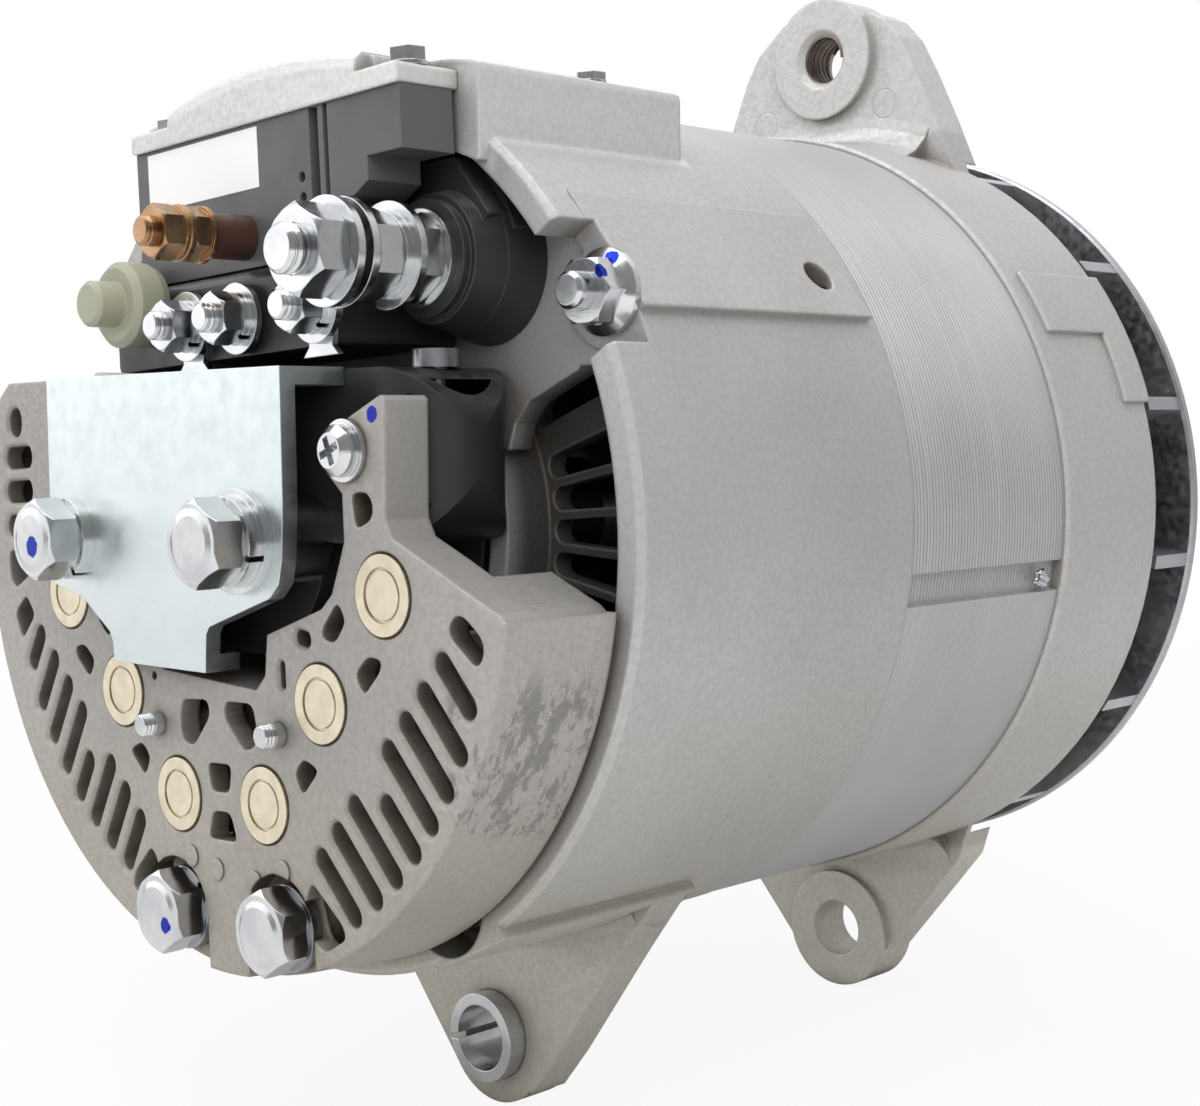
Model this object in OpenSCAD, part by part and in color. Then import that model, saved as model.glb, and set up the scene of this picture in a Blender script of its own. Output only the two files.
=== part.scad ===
// Heavy-duty alternator with a hinge foot at each end, an adjusting ear and a fan behind the pulley seat.
// Millimetres. The shaft lies along Y with the drive end at +Y, +Z is up and the hinge feet hang down.
// The origin is on the shaft's axis at the fan's front face, where a pulley seats.

// which piece is drawn

/* [Shell] */
// front edge of the front housing
front_edge = -18.5; // [-20:0.1:-17]
// joint between the front housing and the stator
front_joint = -53.1; // [-56:0.1:-50]
// joint between the stator and the rear housing
rear_joint = -103.3; // [-106:0.1:-100]
// rear edge of the rear housing
rear_edge = -173.2; // [-176:0.1:-170]
// outer radius of the front housing
front_r = 80.9; // [80:0.1:82]
// outer radius of the stator's core
stator_r = 79.8; // [79:0.1:80]
// outer radius of the rear housing
rear_r = 80; // [79:0.1:81]
// wall of the rear housing
wall = 5; // [4:0.1:6]
// rear face of the recessed end wall
end_wall = -153.3; // [-156:0.1:-150]
// rear face of the deck that carries the terminals
deck = -163.3; // [-166:0.1:-160]
// lowest height of the deck
deck_low = 27.5; // [25:0.1:30]

/* [Tie studs] */
// distance of the two upper tie studs from the shaft
tie_r = 75.8; // [75:0.1:76]
// angle of the upper tie studs above the X axis
tie_turn = 30.7; // [28:0.1:33]
// distance of the two lower tie studs from the shaft
low_tie_r = 70.5; // [70:0.1:71]
// angle of the lower tie studs below the X axis
low_tie_turn = 62; // [60:0.5:63]
// face the tie nuts sit on
tie_seat = -164.3; // [-166:0.1:-162]
// radius of a tie stud
tie_rod = 3; // [2.5:0.1:3.5]

/* [Lugs] */
// height of the ear above the shaft and drop of the feet below it
lug_reach = 101.6; // [100:0.1:103]
// radius of each lug's rounded end
lug_end = 13.6; // [12:0.1:15]
// radius of the hinge bores
pivot_r = 6.45; // [6:0.05:7]
// minor radius of the ear's thread
ear_r = 5.4; // [5:0.05:6]
// rear face of the ear's plate
ear_back = -24; // [-26:0.1:-22]
// front face of the ear's plate
ear_front = -14.5; // [-16:0.1:-13]
// rear face of the front foot's plate
foot_back = -20.1; // [-22:0.1:-19]
// front face of the front foot's plate
foot_front = -10.5; // [-12:0.1:-9]
// rear face of the rear foot
rear_foot_back = -131.9; // [-134:0.1:-130]
// front face of the rear foot
rear_foot_front = -122.8; // [-125:0.1:-121]
// rear end of the split bushing
bushing_back = -135.95; // [-138:0.05:-134]
// outer radius of the split bushing
bushing_r = 8.72; // [8:0.01:9]

/* [Heat sink cover] */
// turn of the fittings on the rear face about the shaft
rear_clock = 2.5; // [0:0.1:4]
// rear face of the cover
cover_face = -196.3; // [-198:0.1:-194]
// front edge of the cover
cover_edge = -174.9; // [-177:0.1:-173.5]
// where each of the two lower bolts stands
cover_bolt_at = [15.2, -66];
// where each of the two plate screws stands
plate_screw_at = [17.9, -33.1];
// radius of the cover at its rear face
cover_r = 75.5; // [74:0.1:77]
// how much the cover widens for each mm forward
cover_draft = 0.07; // [0:0.005:0.1]
// thickness of the face
cover_skin = 4; // [3:0.1:5]
// thickness of the cover's walls
cover_wall = 3; // [2:0.1:4]
// width of a cooling slot
slot_w = 3.8; // [3:0.1:4.5]
// spacing of the slots along their row
slot_pitch = 6.55; // [6:0.05:7]
// bevel round a slot
slot_bevel = 0.6; // [0.2:0.1:1]
// radius of a rectifier diode
diode_r = 6.45; // [6:0.05:7]
// radius of the brush cover's round ends
brush_round = 11; // [8:0.1:12]
// where the arms end towards the brush cover
arm_front = -187.3; // [-189:0.1:-186]

/* [Ground bracket] */
// rear face of the ground bracket
bracket_back = -200.3; // [-202:0.1:-199]
// thickness of its sheet
bracket_t = 3; // [2:0.1:4]

/* [Terminals] */
// rear face of the regulator
regulator_back = -187.3; // [-190:0.1:-185]
// underside of the regulator's metal cap
cap_low = 70; // [69:0.1:71]
// top of its flange
cap_top = 73.3; // [72.8:0.1:74.5]
// radius of the arched ridge on it
arch_r = 130; // [110:1:150]
// height of that ridge over the flange
arch_rise = 6.2; // [4:0.1:7]
// rear face of the terminal shelf
shelf_back = -189.3; // [-191:0.1:-188]
// centre of the battery stud
battery_at = [38.45, 43.77];
// centres of the small studs
stud_x = [-10.2, 4.8, 26.4];
// height of the small studs
stud_z = 36.7; // [36:0.1:38]
// rear end of the battery stud
battery_end = -207.3; // [-210:0.1:-204]

/* [Rotating parts] */
// radius of the fan
fan_r = 80.6; // [79:0.1:81.5]
// thickness of the fan's front plate
fan_t = 2.6; // [2:0.1:4]
// rear edge of the fan's blades
blade_back = -15.5; // [-16.5:0.1:-13]
// number of blades
blades = 15; // [11:1:19]
// radius of the pulley seat
seat_r = 11.11; // [11:0.01:11.2]
// length of the pulley seat
seat_len = 38; // [34:0.5:42]
// radius of the shaft inside the fan and its spacer
hub_r = 11.9; // [11.8:0.1:12.2]
// radius of the thread that takes the pulley's nut
thread_r = 7.94; // [7:0.01:8.5]
// front end of the shaft
shaft_end = 60; // [56:1:64]
// radius of the rotor
rotor_r = 57; // [56:0.1:57.2]
// gap between rotor and stator
air_gap = 0.5; // [0.3:0.05:0.8]
// claws on each pole piece
claws = 6; // [5:1:8]
// radius of the slip rings
ring_r = 12; // [11:0.1:13]

/* [Hidden] */
$fn = 64;
stator_in = rotor_r + air_gap;
ties = [[tie_turn, tie_r], [180 - tie_turn, tie_r], [-low_tie_turn, low_tie_r],
    [low_tie_turn - 180, low_tie_r]];
rotor_front = -47.2;
rotor_back = -109.2;
front_bearing = [-36, -19];
rear_bearing = [-149.5, -137.5];
slip_front = -168;
slip_back = -184;
slip_gap = 1;
brush_y = [-171.75, -180.25];
arm_low = -4.5;
cast = [0.66, 0.65, 0.63];
zinc = [0.78, 0.79, 0.8];
black = [0.1, 0.1, 0.11];
steel = [0.55, 0.56, 0.58];
copper = [0.72, 0.42, 0.25];
brass = [0.75, 0.58, 0.3];

// a flat outline in X and Z carried along Y between two stations
module along(y0, y1) translate([0, y1, 0]) rotate([90, 0, 0]) linear_extrude(y1 - y0) children();
// a round bar along Y
module bar(r, y0, y1) translate([0, y0, 0]) rotate([-90, 0, 0]) cylinder(r = r, h = y1 - y0);
// a cone along Y
module taper(ra, rb, y0, y1) translate([0, y0, 0]) rotate([-90, 0, 0])
    cylinder(r1 = ra, r2 = rb, h = y1 - y0);
// a tube along Y
module tube(ro, ri, y0, y1) along(y0, y1) difference() { circle(ro); circle(ri); }
// a profile of radius and Y turned about the shaft
module turned() rotate([-90, 0, 0]) rotate_extrude() children();
// the same over part of a turn, angles from +X towards +Z
module turned_part(a0, a1) rotate([-90, 0, 0]) rotate_extrude(angle = a1 - a0, start = -a1) children();
// place in X and Z
module at(p) translate([p[0], 0, p[1]]) children();
// place at a radius and an angle about the shaft
module around(a, r) rotate([0, -a, 0]) translate([r, 0, 0]) children();
// place both ways about the middle plane
module both() for (s = [0, 1]) mirror([s, 0, 0]) children();
// the rear fittings' turn
module clocked() rotate([0, -rear_clock, 0]) children();
// hexagon along Y with corners up and down
module hex(af, y0, y1) along(y0, y1) rotate(30) circle(d = af / cos(30), $fn = 6);
// hexagon with its corners rounded off towards one or both faces
module nut(af, y0, y1) intersection() {
  hex(af, y0, y1);
  union() {
    taper(af * 0.5 + 0.1, af * 0.58 + 0.3, y0, y0 + af * 0.09);
    bar(af * 0.6, y0 + af * 0.09, y1 - af * 0.09);
    taper(af * 0.58 + 0.3, af * 0.5 + 0.1, y1 - af * 0.09, y1);
  }
}
// split lock washer
module lock_washer(ro, ri, y0, y1) difference() {
  tube(ro, ri, y0, y1);
  translate([0, y0 - 1, -0.5]) cube([ro + 1, y1 - y0 + 2, 1]);
}
// threaded rod along Y, ridges where it shows and plain where it is covered
module thread(r, y0, y1, pitch) {
  n = floor((y1 - y0) / pitch);
  bar(r - pitch * 0.45, y0, y1);
  for (i = [0 : n - 1]) {
    taper(r - pitch * 0.45, r, y0 + i * pitch, y0 + (i + 0.45) * pitch);
    taper(r, r - pitch * 0.45, y0 + (i + 0.45) * pitch, y0 + (i + 0.9) * pitch);
  }
}
// corners of an outline cut back by an arc of three points
function unit(v) = v / norm(v);
function soft(p, r) = [for (i = [0 : len(p) - 1])
  let (c = p[i], a = p[(i + len(p) - 1) % len(p)], b = p[(i + 1) % len(p)],
       u = unit(a - c), v = unit(b - c), k = min(r, norm(a - c) * 0.45, norm(b - c) * 0.45))
  each [c + u * k, c + (u + v) * k * 0.27, c + v * k]];

// bosses round the tie studs, the lower ones joined to the shell by a web
module tie_bosses(y0, y1) {
  for (t = ties) around(t[0], t[1]) bar(tie_rod + 1, y0, y1);
  for (t = [ties[2], ties[3]]) along(y0, y1) rotate(t[0]) translate([t[1] + tie_rod, -2]) square([5, 4]);
}

// rear housing
function polar(r, a) = [r * cos(a), r * sin(a)];
module vents(turn) for (k = [-9 : 2]) {
  a = -0.1 + 7.5 * k;
  rotate(turn * a + (turn < 0 ? 180 : 0)) {
    translate([43.2, 0]) circle(r = 2.05);
    polygon([[43.2, -2.05], [70, -3.8], [70, 3.8], [43.2, 2.05]]);
  }
}
module rear_foot_outline() {
  translate([0, -lug_reach]) circle(lug_end);
  polygon([[-50, -60], [-23.9, -94.1], [-9.5, -111.3], [0, -lug_reach], [10.2, -111.6],
    [17, -103.3], [33.7, -80.5], [47.5, -62.5], [40, -60]]);
}
module strip(a0, a1, lift0, lift1, y0, y1) along(y0, y1)
  polygon([polar(76, a0), polar(rear_r + lift0, a0), polar(rear_r + lift1, a1), polar(76, a1)]);
module rear_pad() along(-175.3, -127.3)
  polygon(soft([[17, 72], [47.5, 60], [47.5, 76], [40, 77.2], [17, 78.2]], 1.2));
module rear_housing() color(cast) difference() {
  union() {
    turned() polygon([[rear_r - wall, rear_edge], [rear_r - 1, rear_edge], [rear_r, rear_edge + 1],
      [rear_r, rear_joint + 1], [rear_r - wall, rear_joint + 1]]);
    along(end_wall, end_wall + 4) circle(76);
    along(deck, deck + 5) intersection() {
      circle(76);
      translate([-80, deck_low]) square([160, 60]);
    }
    along(deck, end_wall + 2) intersection() {
      circle(76);
      translate([-80, deck_low]) square([160, 3]);
    }
    bar(26, -156, rear_bearing[1] + 0.5);
    along(deck, end_wall + 1) intersection() {
      difference() { circle(39.8); circle(35.5); }
      translate([-60, -60]) square([120, 60 + deck_low + 1]);
    }
    along(deck, deck + 5) both2d()
      polygon([[34, deck_low + 1], [58, deck_low + 1], [57, deck_low - 0.7],
          [45.5, 22], [42, 18.3], [40.5, 14], [34, 14]]);
    tie_bosses(tie_seat + 2, rear_joint + 1);
    intersection() {
      bar(rear_r - 0.5, tie_seat - 1, -150);
      for (t = ties) around(t[0], t[1] - 1) bar(8.4, tie_seat - 1, -155);
    }
    clocked() both() at(cover_bolt_at) bar(8, cover_edge, end_wall + 1);
    both() rear_pad();
    strip(26.5, 43.5, 1.6, 0.4, -166.3, rear_joint - 2);
    strip(-66, -54, 0.6, 1.9, rear_edge, -126);
    strip(-126, -114, 1.9, 0.6, rear_edge, -126);
    along(rear_foot_back, rear_foot_front) difference() {
      rear_foot_outline();
      circle(77);
    }
    turned_part(-112, -62) polygon([[78, -120.5], [78, -133], [82.5, -131.9],
        [85, -127], [82.5, -122.8], [80, -116]]);
  }
  bar(rear_r + 1, rear_joint, rear_joint + 2);
  bar(20, rear_bearing[0], rear_bearing[1] + 1);
  bar(14, -157, rear_bearing[0] + 1);
  along(end_wall - 1, end_wall + 5) {
    vents(1);
    vents(-1);
    both2d() polygon(soft([[37.3, 17.3], [60.5, 26], [60.5, deck_low - 0.7],
        [43, deck_low - 0.7], [36.4, 21.4]], 1.5));
  }
  for (t = ties) around(t[0], t[1]) bar(tie_rod + 0.2, tie_seat - 1, rear_joint + 2);
  for (a = [tie_turn, 180 - tie_turn]) along(rear_edge - 3, tie_seat) rotate(a) {
    translate([tie_r - 1.5, 0]) circle(11.5);
    translate([tie_r - 1.5, -11.5]) square([16, 23]);
  }
  for (t = [ties[2], ties[3]]) around(t[0], t[1]) bar(9.6, rear_edge - 1, tie_seat);
  around(32.8, 70) translate([0, rear_joint - 10.6, 0]) rotate([0, 90, 0]) cylinder(r = 3.2, h = 14);
  at([0, -lug_reach]) bar(bushing_r + 0.05, rear_foot_back - 1, rear_foot_front + 1);
  clocked() both() at(cover_bolt_at) bar(4, cover_edge - 1, -158);
}

// front housing
module ear_outline() {
  translate([0, lug_reach]) circle(lug_end);
  polygon([[-38, 70], [-27.8, 89], [-23.4, 99.2], [-19.6, 105.2], [-12, 111.2], [0, lug_reach],
    [12, 110.8], [16, 108.8], [20.3, 104.2], [24.5, 96.6], [30.2, 84.6], [36.5, 70]]);
}
module front_foot_outline() {
  translate([0, -lug_reach]) circle(lug_end);
  polygon([[-39, -66], [-34, -80.4], [-24.9, -93.4], [-13.4, -106.6], [0, -lug_reach], [12.3, -106.1],
    [23, -93.2], [33.5, -80.4], [38.2, -65.8]]);
}
module front_lug(back, front) {
  along(back, min(front, front_edge)) difference() { children(); circle(78); }
  along(front_edge - 0.5, front) difference() { children(); circle(82.3); }
}
module front_housing() color(cast) difference() {
  union() {
    turned() polygon([[76.5, front_joint - 1], [front_r - 1.6, front_joint - 1], [front_r, front_joint + 0.6],
      [front_r, front_edge - 0.6], [front_r - 0.6, front_edge], [76.5, front_edge]]);
    for (k = [0 : 7]) along(-26, front_edge) rotate(22.5 + 45 * k) translate([36, -5]) square([42, 10]);
    bar(40, -39, -16.5);
    tie_bosses(front_joint - 1, -29);
    turned_part(25.8, 35.6) polygon([[79, -48.3], [front_r + 0.6, -48.3],
        [front_r + 1.1, -47.8], [front_r + 1.1, front_edge], [79, front_edge]]);
    turned_part(15.3, 26.2) polygon([[79, -27.8], [front_r + 0.6, -27.8],
        [front_r + 1.1, -27.3], [front_r + 1.1, front_edge], [79, front_edge]]);
    front_lug(ear_back, ear_front) ear_outline();
    at([0, lug_reach]) bar(lug_end, ear_back - 1.86, ear_back + 1);
    front_lug(foot_back, foot_front) front_foot_outline();
    at([0, -lug_reach]) bar(lug_end, foot_back - 1.54, foot_back + 1);
    turned_part(71, 109) polygon([[79, -30], [front_r, -29.5],
        [82.4, -26.6], [85.5, -24.4], [88, ear_back], [88, ear_back + 1], [79, ear_back + 1]]);
    turned_part(-111, -69) polygon([[79, -26.5], [front_r, -26],
        [82.4, -22.8], [85.5, -20.6], [88, foot_back], [88, foot_back + 1], [79, foot_back + 1]]);
  }
  bar(front_r + 1, front_joint - 2, front_joint);
  bar(31, -40, front_bearing[1]);
  bar(25, front_bearing[1] - 1, -16);
  for (t = ties) around(t[0], t[1]) bar(tie_rod, front_joint - 1, -33);
  for (k = [0 : 3]) around(90 * k + 8, 35.3) bar(2.5, -40, -27);
  at([0, lug_reach]) {
    bar(ear_r, ear_back - 3, ear_front + 1);
    taper(ear_r + 1.3, ear_r, ear_back - 1.86, ear_back - 0.56);
  }
  at([0, -lug_reach]) bar(pivot_r, foot_back - 3, foot_front + 1);
}

// stator
module stator_core() color([0.6, 0.61, 0.62]) along(rear_joint, front_joint) difference() {
  circle(stator_r);
  circle(stator_in);
  for (k = [0 : 35]) rotate(10 * k) {
    translate([58.8, -2.6]) square([6.8, 5.2]);
    translate([55, -1.2]) square([4.5, 2.4]);
  }
  for (t = ties) rotate(t[0]) translate([t[1], 0]) circle(tie_rod + 0.2);
  for (a = [-8.75, 171.25]) rotate(a) translate([stator_r - 1.9, -3]) square([5, 6]);
}
module winding_end(y0, y1, lip) turned()
  polygon([[59, y0], [65.4, y0], [65.4, y1 - lip], [65.4 - abs(lip) * 0.6, y1],
      [59 + abs(lip) * 0.6, y1], [59, y1 - lip]]);
module stator_windings() color(copper) {
  winding_end(front_joint, front_joint + 16, 3);
  winding_end(rear_joint, rear_joint - 18, -3);
  along(rear_joint - 1, front_joint + 1) for (k = [0 : 35]) rotate(10 * k) translate([59, -2.5])
      square([6.4, 5]);
}
module tie_studs() color(zinc) for (t = ties) around(t[0], t[1]) {
  bar(tie_rod, -168.5, -33);
  taper(tie_rod - 0.6, tie_rod, -173.8, -173.2);
  bar(tie_rod, -173.2, -168);
}
module tie_nuts() color(zinc) for (t = ties) around(t[0], t[1]) difference() {
  union() {
    nut(10, tie_seat - 6, tie_seat - 1.2);
    taper(5.2, 7, tie_seat - 2.6, tie_seat - 1.2);
    bar(7, tie_seat - 1.2, tie_seat);
  }
  bar(tie_rod, tie_seat - 7, tie_seat + 1);
}

// heat sink cover: outline in X and Z
cover_right = [[14.7, -23.5], [15.8, -16.7], [30.8, -12.3], [33.7, -9.9],
    [36.1, -4.8], [37.5, -1.6], [37.6, 6],
  [33.8, 9.6], [33.4, 13.4], [38.4, 17.2], [48.1, 20.8], [48.8, 20.1], [47.7, 1.7], [49.2, -1.3], [56.8, -5],
  [65.5, -9.4], [72.4, -12.7], [73.6, -13.7], [78, -14]];
cover_left = [[-78, 10], [-75, 20], [-68.6, 28], [-64.7, 30.6],
    [-50.7, 30.1], [-38, 26], [-38, 20], [-28.5, 12],
  [-28.5, -9], [-31, -12.2], [-16.2, -16.5], [-15.6, -23.4]];
module cover_plan(inset) offset(delta = -inset) polygon(concat([[11.9, -26.1]], cover_right,
  [[78, -80], [-78, -80]], cover_left));
// distance along a ray from p towards d until it meets a circle of radius r
function reach(p, d, r) = -(p * d) + sqrt(pow(p * d, 2) - (p * p - r * r));
// a slot with round ends and a bevelled rim, from p to q
module slot(p, q, w) {
  d = q - p;
  l = norm(d);
  a = atan2(d[1], d[0]);
  at(p) rotate([0, -a, 0]) {
    along(cover_face - 1, cover_face + cover_skin + 1) {
      circle(w / 2);
      translate([l, 0]) circle(w / 2);
      translate([0, -w / 2]) square([l, w]);
    }
    for (x = [0, l]) translate([x, 0, 0]) taper(w / 2 + 2 * slot_bevel, w / 2, cover_face - slot_bevel,
        cover_face + slot_bevel);
    rotate([0, 90, 0]) linear_extrude(l) polygon([[-w / 2 - 2 * slot_bevel, cover_face - slot_bevel],
      [w / 2 + 2 * slot_bevel, cover_face - slot_bevel], [w / 2, cover_face + slot_bevel],
          [-w / 2, cover_face + slot_bevel]]);
  }
}
module slot_row(first, step, dir, rim) for (k = [0 : 7]) {
  d = [cos(dir + k * 0.35), sin(dir + k * 0.35)];
  p = first + step * slot_pitch * k + d * (k == 4 ? 7.2 : 1.9);
  slot(p, p + d * reach(p, d, rim + (k == 0 ? -0.8 : 0)), slot_w);
}
module window(p) along(cover_face - 1, cover_face + cover_skin + 1) polygon(soft(p, 1.3));
module both_windows(p) both() window(p);
module cover_shell(inset, y0, y1) intersection() {
  taper(cover_r - inset + (y0 - cover_face) * cover_draft,
    cover_r - inset + (y1 - cover_face) * cover_draft, y0, y1);
  along(y0, y1) cover_plan(inset);
}
diode_at = [[46.4, -10], [29.3, -27.6], [12.6, -45.3]];
// where the screw on the right arm stands
cover_screw_at = [39.2, 12.7];
module heat_sink_cover() color(cast) clocked() difference() {
  union() {
    difference() {
      cover_shell(0, cover_face, cover_edge);
      cover_shell(cover_wall, cover_face + cover_skin, cover_edge + 1);
      translate([-49.5, arm_front, arm_low]) cube([99, 20, 40]);
      translate([40, arm_front, arm_low - 8]) cube([22, 20, 12]);
    }
    both() for (p = diode_at) at(p) bar(8.2, cover_face + 1, cover_face + 10);
    both() at(plate_screw_at) bar(4.6, cover_face + 1, -181);
    both() at(cover_bolt_at) bar(8, cover_face + 3, cover_edge);
    at([-37.3, 0.4]) bar(8.6, cover_face - 1, cover_face + 2);
    for (p = [[-9.6, -56], [-2, -57.6], [9, -58.6], [17, -56]]) at(p)
        bar(1.9, cover_face - 0.35, cover_face + 1);
  }
  slot_row([57.9, -18.9], [-0.699, -0.715], -49.6, 70.6);
  slot_row([-57.5, -16.6], [0.695, -0.719], 236.6 - 360, 66.8);
  both_windows([[2.5, -28.2], [10.5, -28.4], [11.5, -31.9], [11, -35.7], [7.4, -36.6], [2, -31]]);
  window([[-3.6, -39.1], [3.6, -39.1], [2.7, -44.1], [-2.7, -44.1]]);
  window([[-2.7, -47.4], [2.7, -47.4], [4.3, -52.4], [-4.3, -52.4]]);
  both_windows([[24, -36.6], [28.1, -38.4], [23.4, -43], [21.3, -39.3]]);
  both_windows([[42, -19.4], [45.3, -20.1], [45, -21.8], [40.6, -25.9], [38.5, -22.4]]);
  both_windows([[35, -10.9], [37, -14.2], [33.7, -17.9], [30.6, -16.9], [30.7, -15.3]]);
  window([[39.8, 6.1], [43.8, 6.1], [45.2, 4], [44.6, 1.7], [40.6, 0.2]]);
  window([[63.1, -12.8], [65, -13], [68.4, -15.8], [69.2, -17.4],
      [68.7, -19.6], [67.1, -20.6], [61.9, -16.4], [61.3, -14.6]]);
  window([[24.6, -56.8], [22.4, -60.2], [24.6, -67.2], [27.5, -68.2], [33.1, -65.3], [32.4, -63.2]]);
  window([[-22.6, -55.5], [-20.4, -58.4], [-22.4, -62.4], [-25, -66.2], [-29.7, -63.5], [-28.7, -60.8]]);
  window([[-68.4, -1.8], [-62.4, -1.4], [-60.7, -6.6], [-66.4, -9.2], [-68.2, -7.6]]);
  window([[-62.6, -10.3], [-59.5, -14.3], [-64.8, -19.2], [-67.2, -13.9]]);
  slot([-63.8, 22.7], [-63.8, 23.3], 5);
  for (p = [[-63.2, 16.2], [-63.6, 9.6], [-63.9, 3]]) slot(p - [3, 0], p + [3, 0], 4.3);
  slot([24.4, -17], [25.8, -17.3], 2.6);
  slot([19, -21.8], [19, -24.8], 1.6);
  at([-18.8, -24.6]) bar(0.8, cover_face - 1, cover_face + 5);
  both() for (p = diode_at) at(p) {
    bar(diode_r, cover_face - 1, cover_face + 8);
    bar(1.6, cover_face + 7, cover_face + 11);
    taper(diode_r + 1, diode_r, cover_face - 0.5, cover_face + 0.5);
  }
  both() at(plate_screw_at) bar(2, cover_face - 1, -180);
  both() at(cover_bolt_at) bar(4, cover_face - 2, cover_edge + 1);
  along(cover_face - 2, cover_face + 3.3) both() {
    translate([15.2, -66]) circle(9.4);
    translate([15.2 - 9.4, -86]) square([18.8, 20]);
  }
  at(cover_screw_at) bar(2.2, cover_face - 1, arm_front + 1);
  at([-37.3, 0.4]) bar(4.2, cover_face - 2, arm_front + 1);
  rotate([0, rear_clock, 0]) translate([-46, cover_face - 1, 28 - bracket_t - 0.3]) cube([5, 20, 5]);
}
module diode(face, depth, lead) {
  bar(diode_r, face + 0.6, face + depth);
  tube(diode_r, 4.4, face, face + 1);
  bar(3.9, face + 0.1, face + 1);
  bar(1, face + depth - 1, face + depth + lead);
}
module negative_diodes() color([0.74, 0.71, 0.6]) clocked() both() for (p = diode_at) at(p)
    diode(cover_face - 0.3, 8.3, 4);
positive_at = [[53, -28], [38, -42], [22, -51.5]];
module positive_plate() color(cast) clocked() difference() {
  along(-181, -177) difference() {
    intersection() {
      circle(70);
      polygon([[-68, -17], [-44, -17], [-36, -30], [36, -30], [44, -17], [68, -17], [68, -75], [-68, -75]]);
    }
    for (s = [-1, 1]) {
      translate([s * 15.2, -66]) circle(9.4);
      translate([s * 17.9, -33.1]) circle(2);
      for (p = positive_at) translate([s * p[0], p[1]]) circle(diode_r);
    }
    translate([-8, -75]) square([16, 18]);
  }
}
module positive_diodes() color([0.74, 0.71, 0.6]) clocked() both() for (p = positive_at) at(p)
    mirror([0, 1, 0]) diode(176, 7, 2.6);
module plate_nuts() color(zinc) clocked() both() at(plate_screw_at) difference() {
  nut(7, -177, -173.8);
  bar(2, -178, -173);
}
module plate_screws() color(zinc) clocked() both() at(plate_screw_at) {
  bar(2, -198.3, -173);
  thread(2, -200.4, -198.2, 0.7);
}
module cover_bolts() color(zinc) clocked() both() at(cover_bolt_at) {
  nut(13, -200.6, -195);
  bar(6.2, -200.6, -195);
  taper(4.6, 5.6, -201, -200.6);
  bar(4, -195, -160);
}
module cover_lock_washers() color(steel) clocked() both() at(cover_bolt_at) rotate([0, -140, 0])
    lock_washer(7.4, 4, -195, -193);
module cross_recess(r, y0, y1) along(y0, y1) for (a = [20, 110]) rotate(a) translate([-r, -0.6])
    square([2 * r, 1.2]);
module cover_screw() color(zinc) clocked() at(cover_screw_at) difference() {
  union() {
    bar(5, cover_face - 1, cover_face);
    bar(4.1, cover_face - 2.4, cover_face - 1);
    taper(2.8, 4.1, cover_face - 3.6, cover_face - 2.4);
    bar(2.2, cover_face, -180);
  }
  cross_recess(2.3, cover_face - 5, cover_face - 2.1);
}

// ground bracket
module ground_bracket() color(zinc) difference() {
  union() {
    along(bracket_back, bracket_back + bracket_t) polygon([[-45, 28],
        [-45, -8.4], [-43.6, -10], [-34.5, -11.9],
      [-25.6, -17.6], [-24.6, -19.4], [-24.3, -22.9], [4.2, -22.9], [4.6, -16.4], [5.6, -15],
      [22.8, -9.4], [25.4, -7], [26.4, -3], [27, 6.4], [27, 28]]);
    translate([-45, bracket_back, 28 - bracket_t]) cube([72, regulator_back - 0.1 - bracket_back, bracket_t]);
    translate([0, 0, -22.9]) linear_extrude(bracket_t) polygon([[-24.3, bracket_back], [4.2, bracket_back],
      [4.2, bracket_back + 7], [-13, bracket_back + 7], [-14, cover_face - 0.3], [-24.3, cover_face - 0.3]]);
  }
  for (p = [[-37.3, -1.2], [15.6, -0.3]]) at(p) bar(4, bracket_back - 1, bracket_back + bracket_t + 1);
  translate([-50, bracket_back - 1, 27.3]) rotate([-45, 0, 0]) translate([0, -3, -1]) cube([90, 3, 4]);
}
module ground_standoffs() color(zinc) {
  at([15.6, -0.3]) tube(7.6, 4, bracket_back + bracket_t, -187.3);
}
module ground_bolts() color(zinc) {
  at([-37.3, -1.2]) {
    nut(13, -208.6, -202.5);
    bar(6.2, -208.6, -202.5);
    taper(4.6, 5.8, -209, -208.6);
    bar(4, -202.5, -188.5);
  }
  at([15.6, -0.3]) {
    nut(13, -210.2, -204.1);
    bar(6.2, -210.2, -204.1);
    taper(4.6, 5.8, -210.6, -210.2);
    bar(4, -204.1, -187.6);
  }
}
module ground_washers() color(zinc) {
  at([-37.3, -1.2]) rotate([0, 60, 0]) lock_washer(7.5, 4, -202.5, bracket_back);
  at([15.6, -0.3]) {
    rotate([0, 20, 0]) lock_washer(7.5, 4, -204.1, -201.9);
    tube(8.75, 4, -201.9, bracket_back);
  }
}

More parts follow.
